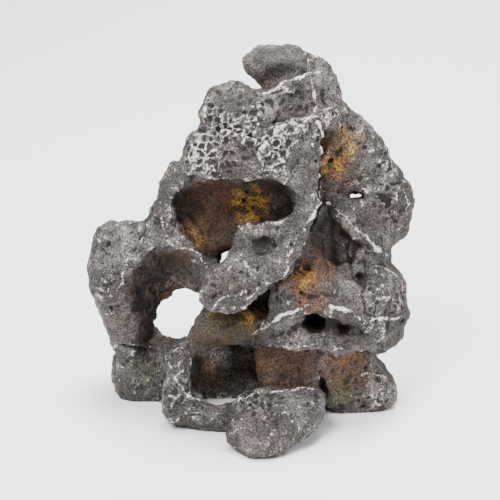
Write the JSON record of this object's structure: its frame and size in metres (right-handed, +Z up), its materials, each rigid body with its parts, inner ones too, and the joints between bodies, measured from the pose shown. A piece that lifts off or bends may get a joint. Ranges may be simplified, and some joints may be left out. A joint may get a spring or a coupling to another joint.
{
  "type": "cave ornament",
  "caption": "Weathered rock cave ornament in cast resin, with a large window, a cave open to the floor, an overhung cavity and a hooked crown.",
  "frame": {"origin": "centre of the footprint's bounding box, on the surface that the ornament stands on", "axes": "+Z up; +X to the viewer's right when the cave mouth and the large window face the viewer; +Y away from that viewer, towards the back"},
  "size_m": [0.1916, 0.1432, 0.2207],
  "materials": {
    "slate_resin": "matte",
    "rust_resin": "matte"
  },
  "bodies": {
    "root": {"crown_hook": "slate_resin", "crown": "slate_resin", "brow_slab": "slate_resin", "centre_ribbon": "slate_resin", "left_shoulder": "slate_resin", "left_arch": "slate_resin", "left_foot": "slate_resin", "entrance_ring": "slate_resin", "toe_rock": "slate_resin", "niche_shelf": "slate_resin", "right_lobe": "slate_resin", "right_shoulder": "slate_resin", "right_flank": "slate_resin", "rear_base": "slate_resin", "rear_crag": "slate_resin", "right_foot": "rust_resin", "column": "rust_resin", "upper_core": "rust_resin"}
  },
  "joints": []
}
